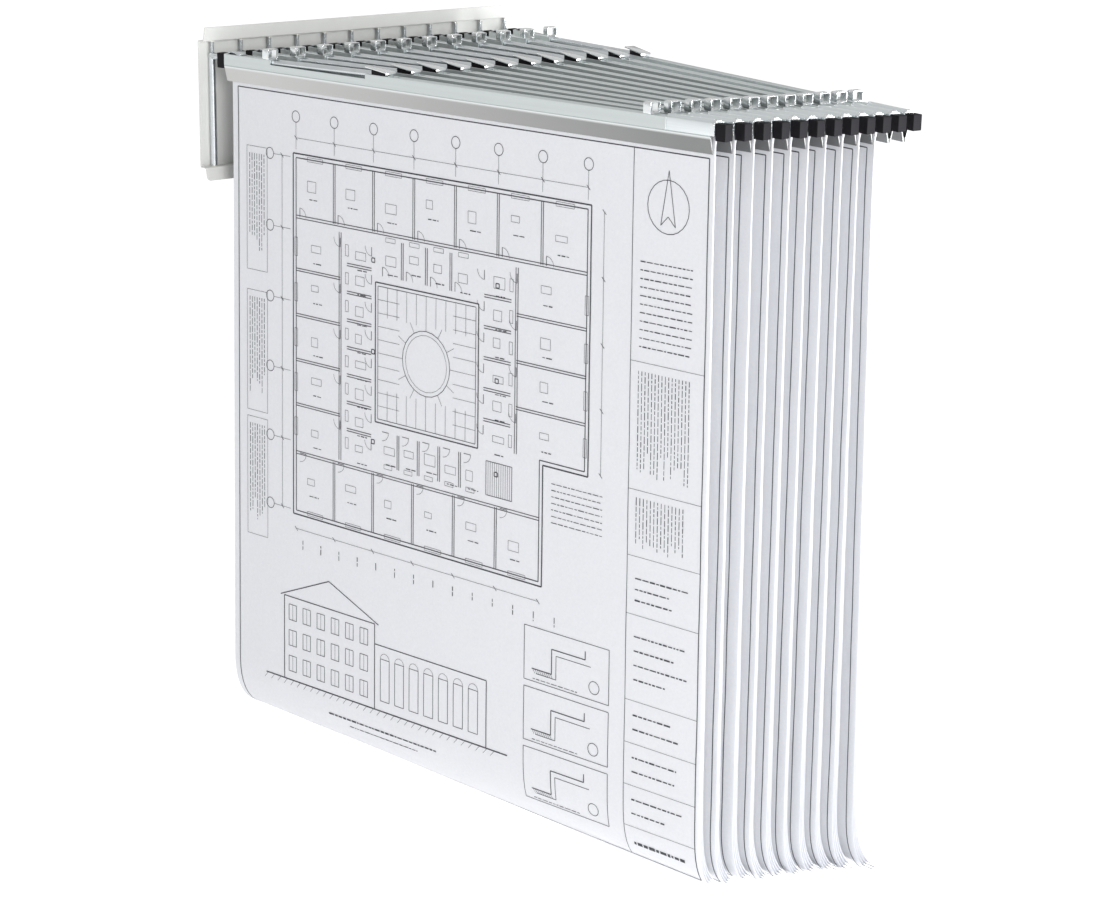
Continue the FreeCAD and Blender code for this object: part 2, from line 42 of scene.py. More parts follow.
# The rack, in millimetres and degrees: pieces are built on one hanger, arm along -Y, then placed
rack = {
    "hangers": 12,
    "pitch": 50.8,
    "pivotOffset": 7.0,
    "armRoot": 69.4,
    "armRise": 1.1,
    "firstAngle": 5.0,
    "angleStep": -1.11,
    "droopStep": 0.1,
    "clampTop": 76.2,
    "clampStart": 36.0,
    "clampEnd": 943.0,
    "channel": (5.35, 11.4),
    "crease": 16.5,
}


def hangerAngle(index):
    return math.radians(rack["firstAngle"] + rack["angleStep"] * index)


def pivotPlace(index):
    # From millimetres about a hanger's pivot to its place in the rack in metres, without its turn
    x = (index - (rack["hangers"] - 1) / 2) * rack["pitch"]
    return Matrix.Scale(mm, 4) @ Matrix.Translation((x, -rack["pivotOffset"], 0))


def hangerPlace(index):
    # From a hanger's own frame in millimetres, turned and drooping, to its place in metres
    root = Matrix.Translation((0, 0, rack["armRoot"]))
    droop = Matrix.Rotation(math.radians(rack["droopStep"] * (index + 1)), 4, "X")
    turn = Matrix.Rotation(hangerAngle(index), 4, "Z")
    return pivotPlace(index) @ turn @ root @ droop @ root.inverted()


def toLinear(hexCode):
    channels = [int(hexCode[i : i + 2], 16) / 255 for i in (1, 3, 5)]
    return [c / 12.92 if c <= 0.04045 else ((c + 0.055) / 1.055) ** 2.4 for c in channels] + [1.0]


def addNode(tree, kind, inputs=None, **settings):
    node = tree.nodes.new(kind)
    for key, value in settings.items():
        setattr(node, key, value)
    for socket, value in (inputs or {}).items():
        if isinstance(value, bpy.types.NodeSocket):
            tree.links.new(value, node.inputs[socket])
        else:
            node.inputs[socket].default_value = value
    return node


def newMaterial(name, **sockets):
    material = bpy.data.materials.new(name)
    material.use_nodes = True
    shader = material.node_tree.nodes["Principled BSDF"]
    for socket, value in sockets.items():
        shader.inputs[socket.replace("_", " ")].default_value = value
    return material, material.node_tree, shader


def objectCoordinates(tree, scale, turn=0.0):
    # Object coordinates, turned about Z to follow a hanger and stretched along it
    coordinates = addNode(tree, "ShaderNodeTexCoord").outputs["Object"]
    turned = addNode(tree, "ShaderNodeMapping", {"Vector": coordinates, "Rotation": (0, 0, -turn)})
    stretched = addNode(tree, "ShaderNodeMapping", {"Vector": turned.outputs[0], "Scale": scale})
    return stretched.outputs[0]


def powderCoatedSteel():
    # Powder-coated sheet steel: satin light warm grey, its highlights softened by a fine orange peel
    material, tree, shader = newMaterial("powderCoatedSteel", IOR=1.5)
    coordinates = objectCoordinates(tree, (1, 1, 1))
    # Ripples 2.2 mm apart, and drifts of colour 110 mm apart
    peel = addNode(tree, "ShaderNodeTexNoise", {"Vector": coordinates, "Scale": 450, "Detail": 2})
    cloud = addNode(tree, "ShaderNodeTexNoise", {"Vector": coordinates, "Scale": 9, "Detail": 3})
    shades = {0: cloud.outputs[0], 6: toLinear("#C9CAC7"), 7: toLinear("#D4D5D2")}
    tint = addNode(tree, "ShaderNodeMix", shades, data_type="RGBA")
    gloss = addNode(tree, "ShaderNodeMapRange", {0: peel.outputs[0], 3: 0.38, 4: 0.5})
    relief = {"Height": peel.outputs[0], "Strength": 0.12, "Distance": 0.0004}
    bump = addNode(tree, "ShaderNodeBump", relief)
    tree.links.new(tint.outputs[2], shader.inputs["Base Color"])
    tree.links.new(gloss.outputs[0], shader.inputs["Roughness"])
    tree.links.new(bump.outputs[0], shader.inputs["Normal"])
    return material


jaw = {
    "dieLines": (900, 4, 900),  # 1.1 mm apart
    "bands": (160, 1.5, 160),  # 6 mm wide
    "creaseShade": (0.0003, 0.0015),  # below the crease, where the lower band's painted shade sets in
    "creaseShine": (0.0018, 0.0045),  # and where the painted highlight under the crease fades
    "shadeDarkening": (-0.1, -0.9),  # from and to where along the clamp the lower band's painted shade darkens
}


def anodisedAluminium(index):
    # Satin anodised aluminium extrusion with fine die lines; below the crease the lower band is painted
    # shade that darkens towards the front, with a painted highlight just under the crease
    material, tree, shader = newMaterial("anodisedAluminium_%02d" % (index + 1), Metallic=1.0)
    turn = hangerAngle(index)
    lines = objectCoordinates(tree, jaw["dieLines"], turn)
    fineLines = {"Vector": lines, "Scale": 1, "Detail": 3, "Roughness": 0.65}
    streaks = addNode(tree, "ShaderNodeTexNoise", fineLines)
    broad = objectCoordinates(tree, jaw["bands"], turn)
    bands = addNode(tree, "ShaderNodeTexNoise", {"Vector": broad, "Scale": 1, "Detail": 2})
    mixed = addNode(tree, "ShaderNodeMix", {0: 0.5, 2: streaks.outputs[0], 3: bands.outputs[0]})
    # Height and distance from the wall, in metres, in the hanger's own frame
    coordinates = addNode(tree, "ShaderNodeTexCoord").outputs["Object"]
    unit = Matrix.Scale(mm, 4) @ hangerPlace(index).inverted()
    own = addNode(
        tree,
        "ShaderNodeMapping",
        {"Vector": coordinates, "Location": unit.to_translation(), "Rotation": unit.to_euler()},
    )
    parts = addNode(tree, "ShaderNodeSeparateXYZ", {0: own.outputs[0]})
    crease = (rack["clampTop"] - rack["crease"]) * mm
    # Masks down from the crease: where the lower band's painted shade sets in, and where the painted
    # highlight under the crease fades
    shade, shine = [
        addNode(tree, "ShaderNodeMapRange", {0: parts.outputs[2], 1: crease - first, 2: crease - last})
        for first, last in (jaw["creaseShade"], jaw["creaseShine"])
    ]
    first, last = jaw["shadeDarkening"]
    # Along the clamp: the lower band's painted shade grows darker towards the front
    along = addNode(tree, "ShaderNodeMapRange", {0: parts.outputs[1], 1: first, 2: last})
    upperShades = {0: mixed.outputs[0], 6: toLinear("#C6CDCD"), 7: toLinear("#DCE1E1")}
    upper = addNode(tree, "ShaderNodeMix", upperShades, data_type="RGBA")
    # The lower band's colours are painted shade, from a lighter rear to a darker front
    lowerShades = {0: along.outputs[0], 6: toLinear("#C4C4C3"), 7: toLinear("#8A8B8B")}
    lower = addNode(tree, "ShaderNodeMix", lowerShades, data_type="RGBA")
    # A painted highlight just under the crease, fading into the lower band's painted shade
    highlightColours = {0: shine.outputs[0], 6: toLinear("#DDE0E0"), 7: lower.outputs[2]}
    edge = addNode(tree, "ShaderNodeMix", highlightColours, data_type="RGBA")
    # The upper band above the crease; the painted shade and painted highlight below it
    bothShades = {0: shade.outputs[0], 6: upper.outputs[2], 7: edge.outputs[2]}
    tint = addNode(tree, "ShaderNodeMix", bothShades, data_type="RGBA")
    gloss = addNode(tree, "ShaderNodeMapRange", {0: mixed.outputs[0], 3: 0.42, 4: 0.56})
    relief = {"Height": streaks.outputs[0], "Strength": 0.1, "Distance": 0.0002}
    bump = addNode(tree, "ShaderNodeBump", relief)
    tree.links.new(tint.outputs[2], shader.inputs["Base Color"])
    tree.links.new(gloss.outputs[0], shader.inputs["Roughness"])
    tree.links.new(bump.outputs[0], shader.inputs["Normal"])
    return material


def zincPlatedSteel():
    # Bright zinc plating on drawn steel tube: a mirror-like grey with a faint cloudy passivation
    material, tree, shader = newMaterial("zincPlatedSteel", Metallic=1.0)
    coordinates = objectCoordinates(tree, (1, 1, 1))
    # Clouds 17 mm apart, and a grain of 1.4 mm
    cloud = addNode(tree, "ShaderNodeTexNoise", {"Vector": coordinates, "Scale": 60, "Detail": 4})
    grain = addNode(tree, "ShaderNodeTexNoise", {"Vector": coordinates, "Scale": 700, "Detail": 2})
    shades = {0: cloud.outputs[0], 6: toLinear("#C2C7CA"), 7: toLinear("#DDE1E3")}
    tint = addNode(tree, "ShaderNodeMix", shades, data_type="RGBA")
    gloss = addNode(tree, "ShaderNodeMapRange", {0: grain.outputs[0], 3: 0.16, 4: 0.3})
    tree.links.new(tint.outputs[2], shader.inputs["Base Color"])
    tree.links.new(gloss.outputs[0], shader.inputs["Roughness"])
    return material


def brightNickelSteel():
    # Nickel-plated pressed steel: bright and nearly clean, with slight polishing marks 4 mm apart
    material, tree, shader = newMaterial("brightNickelSteel", Metallic=1.0)
    coordinates = objectCoordinates(tree, (1, 1, 1))
    marks = addNode(tree, "ShaderNodeTexNoise", {"Vector": coordinates, "Scale": 260, "Detail": 4})
    shades = {0: marks.outputs[0], 6: toLinear("#D6DADC"), 7: toLinear("#F0F2F2")}
    tint = addNode(tree, "ShaderNodeMix", shades, data_type="RGBA")
    gloss = addNode(tree, "ShaderNodeMapRange", {0: marks.outputs[0], 3: 0.1, 4: 0.24})
    relief = {"Height": marks.outputs[0], "Strength": 0.08, "Distance": 0.0003}
    bump = addNode(tree, "ShaderNodeBump", relief)
    tree.links.new(tint.outputs[2], shader.inputs["Base Color"])
    tree.links.new(gloss.outputs[0], shader.inputs["Roughness"])
    tree.links.new(bump.outputs[0], shader.inputs["Normal"])
    return material


def brushedAluminium(index):
    # Brushed aluminium sheet: a little bluer than the extrusion, with lines 0.7 mm apart along it
    material, tree, shader = newMaterial("brushedAluminium_%02d" % (index + 1), Metallic=1.0)
    lines = objectCoordinates(tree, (1400, 9, 1400), hangerAngle(index))
    brush = addNode(tree, "ShaderNodeTexNoise", {"Vector": lines, "Scale": 1, "Detail": 3})
    shades = {0: brush.outputs[0], 6: toLinear("#D5DDDF"), 7: toLinear("#ECF0F1")}
    tint = addNode(tree, "ShaderNodeMix", shades, data_type="RGBA")
    gloss = addNode(tree, "ShaderNodeMapRange", {0: brush.outputs[0], 3: 0.26, 4: 0.4})
    relief = {"Height": brush.outputs[0], "Strength": 0.1, "Distance": 0.0002}
    bump = addNode(tree, "ShaderNodeBump", relief)
    tree.links.new(tint.outputs[2], shader.inputs["Base Color"])
    tree.links.new(gloss.outputs[0], shader.inputs["Roughness"])
    tree.links.new(bump.outputs[0], shader.inputs["Normal"])
    return material


def mouldedPolypropylene():
    # Moulded black polypropylene: near black, spark-eroded; its 0.9 mm grain is drawn coarse to show
    material, tree, shader = newMaterial("mouldedPolypropylene", IOR=1.49, Specular_IOR_Level=0.1)
    coordinates = objectCoordinates(tree, (1, 1, 1))
    grain = addNode(tree, "ShaderNodeTexNoise", {"Vector": coordinates, "Scale": 1100, "Detail": 3})
    shades = {0: grain.outputs[0], 6: toLinear("#0F0E11"), 7: toLinear("#1E1D21")}
    tint = addNode(tree, "ShaderNodeMix", shades, data_type="RGBA")
    gloss = addNode(tree, "ShaderNodeMapRange", {0: grain.outputs[0], 3: 0.55, 4: 0.7})
    relief = {"Height": grain.outputs[0], "Strength": 0.35, "Distance": 0.0003}
    bump = addNode(tree, "ShaderNodeBump", relief)
    tree.links.new(tint.outputs[2], shader.inputs["Base Color"])
    tree.links.new(gloss.outputs[0], shader.inputs["Roughness"])
    tree.links.new(bump.outputs[0], shader.inputs["Normal"])
    return material


def naturalNylon():
    # Moulded natural nylon: waxy off-white, with clouds 3 mm apart
    material, tree, shader = newMaterial("naturalNylon", IOR=1.53)
    coordinates = objectCoordinates(tree, (1, 1, 1))
    cloud = addNode(tree, "ShaderNodeTexNoise", {"Vector": coordinates, "Scale": 300, "Detail": 2})
    shades = {0: cloud.outputs[0], 6: toLinear("#D3CFC2"), 7: toLinear("#E2DFD5")}
    tint = addNode(tree, "ShaderNodeMix", shades, data_type="RGBA")
    gloss = addNode(tree, "ShaderNodeMapRange", {0: cloud.outputs[0], 3: 0.35, 4: 0.5})
    tree.links.new(tint.outputs[2], shader.inputs["Base Color"])
    tree.links.new(gloss.outputs[0], shader.inputs["Roughness"])
    return material


def bondPaper():
    # Uncoated bond paper: cool white, matt, with a cloudy fibre formation and a slight cockle
    material, tree, shader = newMaterial("bondPaper", IOR=1.45)
    coordinates = objectCoordinates(tree, (1, 1, 1))
    # Flocks of fibre 4 mm apart, and cockles 70 mm apart
    fibre = addNode(tree, "ShaderNodeTexNoise", {"Vector": coordinates, "Scale": 240, "Detail": 4})
    cockle = addNode(tree, "ShaderNodeTexNoise", {"Vector": coordinates, "Scale": 14, "Detail": 2})
    shades = {0: fibre.outputs[0], 6: toLinear("#E5E6EA"), 7: toLinear("#EFF0F3")}
    tint = addNode(tree, "ShaderNodeMix", shades, data_type="RGBA")
    gloss = addNode(tree, "ShaderNodeMapRange", {0: fibre.outputs[0], 3: 0.8, 4: 0.95})
    tooth = {"Height": fibre.outputs[0], "Strength": 0.1, "Distance": 0.0003}
    fine = addNode(tree, "ShaderNodeBump", tooth)
    waves = {"Height": cockle.outputs[0], "Strength": 0.25, "Distance": 0.004}
    bump = addNode(tree, "ShaderNodeBump", {**waves, "Normal": fine.outputs[0]})
    # Light shines through a sheet a little, which brightens the narrow gaps between the bundles
    through = addNode(tree, "ShaderNodeBsdfTranslucent", {"Color": tint.outputs[2]})
    layers = {0: 0.3, 1: shader.outputs[0], 2: through.outputs[0]}
    sheet = addNode(tree, "ShaderNodeMixShader", layers)
    tree.links.new(sheet.outputs[0], tree.nodes["Material Output"].inputs["Surface"])
    tree.links.new(tint.outputs[2], shader.inputs["Base Color"])
    tree.links.new(gloss.outputs[0], shader.inputs["Roughness"])
    tree.links.new(bump.outputs[0], shader.inputs["Normal"])
    return material


def plotterInk():
    # Plotter ink on bond: dark grey, matt, uneven every 2 mm where the fibres take less of it
    material, tree, shader = newMaterial("plotterInk", IOR=1.45)
    coordinates = objectCoordinates(tree, (1, 1, 1))
    uneven = addNode(tree, "ShaderNodeTexNoise", {"Vector": coordinates, "Scale": 500, "Detail": 2})
    shades = {0: uneven.outputs[0], 6: toLinear("#212228"), 7: toLinear("#484950")}
    tint = addNode(tree, "ShaderNodeMix", shades, data_type="RGBA")
    gloss = addNode(tree, "ShaderNodeMapRange", {0: uneven.outputs[0], 3: 0.6, 4: 0.8})
    tree.links.new(tint.outputs[2], shader.inputs["Base Color"])
    tree.links.new(gloss.outputs[0], shader.inputs["Roughness"])
    return material


finishes = {
    "coat": powderCoatedSteel(),
    "zinc": zincPlatedSteel(),
    "nickel": brightNickelSteel(),
    "black": mouldedPolypropylene(),
    "nylon": naturalNylon(),
    "paper": bondPaper(),
    "ink": plotterInk(),
}
print("materials ready")


def dress(name, material):
    for held in nodes[name].material_slots:
        held.material = material
    if not nodes[name].material_slots:
        nodes[name].data.materials.append(material)


dress("wall_bracket", finishes["coat"])
dress("top_bushes", finishes["nylon"])
dress("bottom_bushes", finishes["nylon"])
for index in range(rack["hangers"]):
    dress("pivot_arm_%02d" % (index + 1), finishes["zinc"])
    dress("clamp_jaws_%02d" % (index + 1), anodisedAluminium(index))
print("bracket, arms and jaws dressed")


def finishPiece(mesh, name, body, material, replaced, place, crease=35):
    bmesh.ops.remove_doubles(mesh, verts=mesh.verts, dist=0.0001)
    bmesh.ops.recalc_face_normals(mesh, faces=mesh.faces)
    for face in mesh.faces:
        face.smooth = True
    for edge in mesh.edges:
        edge.smooth = edge.calc_face_angle(0) < math.radians(crease)
    mesh.transform(place)
    data = bpy.data.meshes.new(name)
    mesh.to_mesh(data)
    mesh.free()
    data.materials.append(material)
    piece = bpy.data.objects.new(name, data)
    bpy.context.scene.collection.objects.link(piece)
    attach(piece, body)
    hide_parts(replaced)
    return piece


cornerAngle = 60  # degrees: an edge that turns by more is a corner, and not part of a bend


def softenEdges(mesh, size, segments=2, sharper=30):
    # Bevels the edges that turn more than an angle, as a pressed or moulded piece has them
    edges = [edge for edge in mesh.edges if edge.calc_face_angle(0) > math.radians(sharper)]
    bmesh.ops.bevel(
        mesh,
        geom=edges,
        offset=size,
        affect="EDGES",
        segments=segments,
        profile=0.5,
        material=-1,
        clamp_overlap=True,
    )


def addBlock(mesh, low, high):
    size = [b - a for a, b in zip(low, high)]
    middle = [(a + b) / 2 for a, b in zip(low, high)]
    place = Matrix.Translation(middle) @ Matrix.Diagonal((*size, 1))
    return bmesh.ops.create_cube(mesh, size=1, matrix=place)["verts"]


spring = {
    "length": 16.2,
    "coils": 9,
    "wire": 0.9,
    "inner": 2.7,
    "top": 89.8,
    "around": 20,
    "sides": 8,
}


def pivotSpring():
    # A round wire wound by turning its section about the pin while it moves down
    mesh = bmesh.new()
    steps = spring["coils"] * spring["around"]
    thick = spring["wire"] / 2
    drop = (spring["length"] - spring["wire"]) / steps
    lifted = Matrix.Translation((spring["inner"] + thick, 0, spring["top"] - thick))
    section = bmesh.ops.create_circle(
        mesh,
        cap_ends=False,
        segments=spring["sides"],
        radius=thick,
        matrix=lifted @ Matrix.Rotation(math.pi / 2, 4, "X"),
    )
    ring = list({edge for vert in section["verts"] for edge in vert.link_edges})
    bmesh.ops.spin(
        mesh,
        geom=section["verts"] + ring,
        cent=(0, 0, 0),
        axis=(0, 0, 1),
        dvec=(0, 0, -drop),
        angle=math.tau * spring["coils"],
        steps=steps,
    )
    bmesh.ops.holes_fill(mesh, edges=mesh.edges, sides=spring["sides"])
    return mesh


cap = {
    "length": 16.0,
    "halfWidth": 7.25,
    "height": 21.2,
    "rounding": 0.8,
    "rearRounding": 0.6,
    "bore": 5.05,
    "spigot": (4.4, 3.0, 59.0, 9.6),  # half width, height, top and reach
    "standoff": 7.4,
    "neck": (2.4, 3.0, 7.0),  # half width, drop below the clamp's top, height
    "tongue": 24.0,
    "tongueDrop": 1.7,
    "clearance": 0.2,  # round the tongue in the arm channel
    "overlap": 0.5,  # where two blocks join
}


def frontCap():
    # A block that stands off from the jaws on a neck, with a tongue that lies in the arm channel
    mesh = bmesh.new()
    end = rack["clampEnd"]
    top = rack["clampTop"]
    half = cap["halfWidth"]
    start = end + cap["standoff"]
    addBlock(mesh, (-half, -start - cap["length"], top - cap["height"]), (half, -start, top))
    softenEdges(mesh, cap["rounding"], 3)
    neckHalf, drop, height = cap["neck"]
    rear, front = -end + cap["overlap"], -start - cap["overlap"]
    addBlock(mesh, (-neckHalf, front, top - drop - height), (neckHalf, rear, top - drop))
    channelHalf, depth = rack["channel"]
    tongueHalf = channelHalf - cap["clearance"]
    low, high = top - depth + cap["clearance"], top - cap["tongueDrop"]
    addBlock(mesh, (-tongueHalf, -end, low), (tongueHalf, -end + cap["tongue"], high))
    return mesh


def rearCap():
    # Two outlines bridged to a pierced face, then drawn out along the arm
    mesh = bmesh.new()
    start = rack["clampStart"] - cap["length"]
    middle = rack["clampTop"] - cap["height"] / 2
    rise = math.tan(math.radians(rack["armRise"]))
    boreHeight = rack["armRoot"] + rise * (start + cap["length"] / 2)
    toFace = Matrix.Translation((0, -start, middle)) @ Matrix.Rotation(math.pi / 2, 4, "X")
    outline = bmesh.ops.create_grid(
        mesh,
        x_segments=1,
        y_segments=1,
        size=1,
        matrix=toFace @ Matrix.Diagonal((cap["halfWidth"], cap["height"] / 2, 1, 1)),
    )
    bmesh.ops.bevel(
        mesh,
        geom=outline["verts"],
        offset=cap["rounding"],
        affect="VERTICES",
        segments=7,
        profile=0.5,
        material=-1,
    )
    bmesh.ops.delete(mesh, geom=list(mesh.faces), context="FACES_ONLY")
    atBore = Matrix.Translation((0, -start, boreHeight)) @ Matrix.Rotation(math.pi / 2, 4, "X")
    bmesh.ops.create_circle(
        mesh, cap_ends=False, segments=32, radius=cap["bore"], matrix=atBore
    )
    bmesh.ops.bridge_loops(mesh, edges=mesh.edges)
    drawn = bmesh.ops.extrude_face_region(mesh, geom=list(mesh.faces), use_keep_orig=True)
    moved = [item for item in drawn["geom"] if isinstance(item, bmesh.types.BMVert)]
    bmesh.ops.translate(mesh, verts=moved, vec=(0, -cap["length"], 0))
    bmesh.ops.recalc_face_normals(mesh, faces=mesh.faces)
    softenEdges(mesh, cap["rearRounding"], 2, cornerAngle)
    half, height, spigotTop, reach = cap["spigot"]
    front = -rack["clampStart"]
    low = (-half, front - reach, spigotTop - height)
    addBlock(mesh, low, (half, front + cap["overlap"], spigotTop))
    return mesh


def thickenSheet(mesh, bend, thickness, edge):
    # Rounds a thin sheet's folds, gives it its thickness, and takes off the sharpness of its edges
    folds = [e for e in mesh.edges if len(e.link_faces) == 2 and e.calc_face_angle(0) > 0.05]
    bmesh.ops.bevel(
        mesh, geom=folds, offset=bend, affect="EDGES", segments=4, profile=0.5, material=-1
    )
    bmesh.ops.recalc_face_normals(mesh, faces=mesh.faces)
    lid = max(mesh.faces, key=lambda face: face.calc_center_median().z)
    if lid.normal.z < 0:
        bmesh.ops.reverse_faces(mesh, faces=mesh.faces)
    bmesh.ops.solidify(mesh, geom=mesh.faces, thickness=thickness)
    bmesh.ops.recalc_face_normals(mesh, faces=mesh.faces)
    softenEdges(mesh, edge, 2, cornerAngle)


def foldedSection(outline, start, length, bend, gauge, closed=False):
    # An outline across the clamp drawn out along it, with the sheet's thickness outside it
    mesh = bmesh.new()
    rail = [mesh.verts.new((x, -start, z)) for x, z in outline]
    following = rail[1:] + rail[:1] if closed else rail[1:]
    edges = [mesh.edges.new(pair) for pair in zip(rail, following)]
    drawn = bmesh.ops.extrude_edge_only(mesh, edges=edges)
    moved = [item for item in drawn["geom"] if isinstance(item, bmesh.types.BMVert)]
    bmesh.ops.translate(mesh, verts=moved, vec=(0, -length, 0))
    bmesh.ops.recalc_face_normals(mesh, faces=mesh.faces)
    thickenSheet(mesh, bend, -gauge, 0.2)
    return mesh


loop = {
    "length": 12.5,
    "halfWidth": 9.5,
    "height": 15.0,
    "gauge": 1.6,
    "bend": 0.6,
    "rear": 128.0,
    "front": 842.5,
}


def loopInside():
    # Half width, floor and roof of a loop's inner side
    half = loop["halfWidth"] - loop["gauge"]
    top = rack["clampTop"]
    return half, top + loop["gauge"], top + loop["height"] - loop["gauge"]


def rearLoop():
    # Its floor is open between two feet, where the arm passes
    half, floor, roof = loopInside()
    foot = rack["channel"][0]
    left = [(-foot, floor), (-half, floor), (-half, roof)]
    outline = left + [(half, roof), (half, floor), (foot, floor)]
    start = loop["rear"] - loop["length"] / 2
    return foldedSection(outline, start, loop["length"], loop["bend"], loop["gauge"])


def frontLoop():
    half, floor, roof = loopInside()
    outline = [(-half, floor), (-half, roof), (half, roof), (half, floor)]
    start = loop["front"] - loop["length"] / 2
    return foldedSection(outline, start, loop["length"], loop["bend"], loop["gauge"], True)


def bentStrip(path, halfWidths, thickness, bend, edge):
    # A sheet strip, whose side view is a few points, each with a half width
    mesh = bmesh.new()
    stations = []
    for (y, z), half in zip(path, halfWidths):
        stations.append([mesh.verts.new((-half, y, z)), mesh.verts.new((half, y, z))])
    for (a, b), (c, d) in zip(stations, stations[1:]):
        mesh.faces.new((a, b, d, c))
    mesh.normal_update()
    thickenSheet(mesh, bend, thickness, edge)
    return mesh


hood = {
    "start": 333.0,
    "length": 42.0,
    "halfWidth": 8.75,
    "footWidth": 5.1,
    "rear": 10.5,
    "front": 5.5,
    "foot": 16.0,
    "lean": 1.5,
    "gauge": 1.6,
    "shoulder": (1.3, 0.3),  # heights above the clamp's top where the flap ends and the leg starts
    "bend": 0.8,
    "edge": 0.25,
}


def armHood():
    # A wide roof and front flap over the arm's tip, on a narrow leg that stands in the channel
    top = rack["clampTop"]
    front = hood["start"] + hood["length"]
    floor = top - rack["channel"][1] + hood["gauge"]
    tall = top + hood["front"] - floor
    flapEnd, legStart = hood["shoulder"]
    flap = hood["lean"] * (hood["front"] - flapEnd) / tall
    neck = hood["lean"] * (hood["front"] - legStart) / tall
    path = [
        (-hood["start"], top + hood["rear"]),
        (-front, top + hood["front"]),
        (-front - flap, top + flapEnd),
        (-front - neck, top + legStart),
        (-front - hood["lean"], floor),
        (-front - hood["foot"], floor),
    ]
    halfWidths = [hood["halfWidth"]] * 3 + [hood["footWidth"]] * 3
    return bentStrip(path, halfWidths, hood["gauge"], hood["bend"], hood["edge"])


stop = {
    "start": 343.5,
    "end": 372.0,
    "halfWidth": 6.5,
    "height": 8.0,  # before its top is cut to the roof
    "headroom": 0.15,
    "rounding": 0.3,
}


def armStop():
    # A black block under the hood, ahead of the arm's tip, its top cut to the roof's slope
    mesh = bmesh.new()
    top = rack["clampTop"]
    slope = (hood["rear"] - hood["front"]) / hood["length"]
    roof = top + hood["rear"] - hood["gauge"] - stop["headroom"] + slope * hood["start"]
    low = (-stop["halfWidth"], -stop["end"], top)
    verts = addBlock(mesh, low, (stop["halfWidth"], -stop["start"], top + stop["height"]))
    for vert in verts:
        if vert.co.z > top + stop["height"] / 2:
            vert.co.z = roof + slope * vert.co.y
    mesh.normal_update()
    softenEdges(mesh, stop["rounding"])
    return mesh


bow = {
    "start": 38.0,
    "length": 30.0,
    "halfWidth": 6.5,
    "gauge": 1.0,
    "rise": 3.0,
    "foot": 3.5,
    "flank": 11.5,
    "bend": 2.5,
    "edge": 0.2,
}


def bowStrip():
    top = rack["clampTop"]
    end = bow["start"] + bow["length"]
    path = [
        (-end, top),
        (-end + bow["foot"], top),
        (-end + bow["flank"], top + bow["rise"]),
        (-bow["start"] - bow["flank"], top + bow["rise"]),
        (-bow["start"] - bow["foot"], top),
        (-bow["start"], top),
    ]
    return bentStrip(path, [bow["halfWidth"]] * len(path), -bow["gauge"], bow["bend"], bow["edge"])


sleeve = {
    "length": 78.3,
    "end": 950.3,
    "gauge": 0.8,
    "halfWidth": 7.8,
    "crown": 2.7,
    "crownHalf": 3.4,
    "skirt": 15.6,
    "slot": 2.45,
    "slotGap": 0.05,  # over the cap's neck
    "lift": 0.02,  # clear of the jaws
    "bend": 0.5,
    "frontRim": 6.4,
    "rearRim": 1.6,
    "rimGauge": 0.35,
}


def sleeveOutline(grown):
    # The sleeve's section across the clamp, its upper sides moved out by the given thickness
    top = rack["clampTop"] + sleeve["lift"]
    half, crown = sleeve["halfWidth"] + grown, sleeve["crown"] + grown
    crownHalf, channelHalf = sleeve["crownHalf"], rack["channel"][0]
    skirt = top - sleeve["skirt"]
    return [
        (-half, skirt),
        (-half, top + grown),
        (-channelHalf, top + grown),
        (-crownHalf, top + crown),
        (crownHalf, top + crown),
        (channelHalf, top + grown),
        (half, top + grown),
        (half, skirt),
    ]


def sleeveRims():
    # Bright rolled rims at the sleeve's two ends: the front one is broad, the rear one a narrow bead
    outline = sleeveOutline(sleeve["gauge"])
    frontStart = sleeve["end"] - sleeve["frontRim"]
    rearStart = sleeve["end"] - sleeve["length"]
    bend, gauge = sleeve["bend"], sleeve["rimGauge"]
    mesh = foldedSection(outline, frontStart, sleeve["frontRim"], bend, gauge)
    narrow = foldedSection(outline, rearStart, sleeve["rearRim"], bend, gauge)
    spare = bpy.data.meshes.new("rim")
    narrow.to_mesh(spare)
    narrow.free()
    mesh.from_mesh(spare)
    bpy.data.meshes.remove(spare)
    return mesh


def frontSleeve():
    # The folded sleeve and its end wall, which straddles the cap's neck
    outline = sleeveOutline(0.0)
    skirt = outline[0][1]
    start = sleeve["end"] - sleeve["length"]
    mesh = foldedSection(outline, start, sleeve["length"], sleeve["bend"], sleeve["gauge"])
    slot = sleeve["slot"]
    slotTop = rack["clampTop"] - cap["neck"][1] + sleeve["slotGap"]
    rim = outline + [(slot, skirt), (slot, slotTop), (-slot, slotTop), (-slot, skirt)]
    verts = [mesh.verts.new((x, -sleeve["end"] + sleeve["gauge"], z)) for x, z in rim]
    edges = [mesh.edges.new(pair) for pair in zip(verts, verts[1:] + verts[:1])]
    wall = bmesh.ops.contextual_create(mesh, geom=edges)["faces"]
    drawn = bmesh.ops.extrude_face_region(mesh, geom=wall, use_keep_orig=True)
    moved = [item for item in drawn["geom"] if isinstance(item, bmesh.types.BMVert)]
    bmesh.ops.translate(mesh, verts=moved, vec=(0, -sleeve["gauge"], 0))
    bmesh.ops.recalc_face_normals(mesh, faces=mesh.faces)
    return mesh


